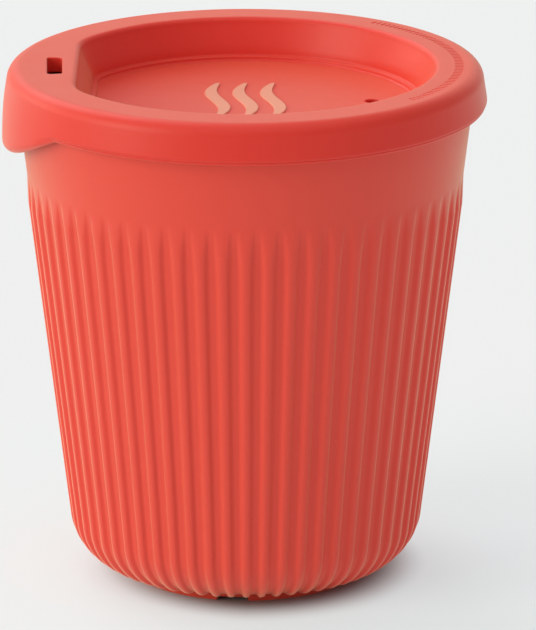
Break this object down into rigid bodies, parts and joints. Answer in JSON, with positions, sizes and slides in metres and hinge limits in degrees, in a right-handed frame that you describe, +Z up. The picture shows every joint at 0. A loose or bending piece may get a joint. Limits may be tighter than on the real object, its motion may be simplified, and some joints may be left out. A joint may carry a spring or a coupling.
{
  "type": "travel cup with lid",
  "caption": "Rigid tapered drinking cup with upright ribs, a foot ring and a soft push-on sip lid with a recessed top, sip slot and air vent.",
  "frame": {"origin": "on the cup's axis, on the surface that the foot stands on", "axes": "+Z up along the cup's axis, -X towards the drinking side with the sip slot and lobe, +X towards the air vent"},
  "size_m": [0.0924, 0.0922, 0.1],
  "materials": {
    "cup_plastic": "satin moulded polypropylene, coral red",
    "lid_silicone": "matte moulded silicone, coral red"
  },
  "bodies": {
    "cup": {"cup_body": "cup_plastic"},
    "lid": {"lid": "lid_silicone"}
  },
  "joints": [
    {"name": "lid_lift", "type": "slide", "parent": "cup", "child": "lid", "axis": [0, 0, 1], "range_m": [0, 0.04]}
  ]
}
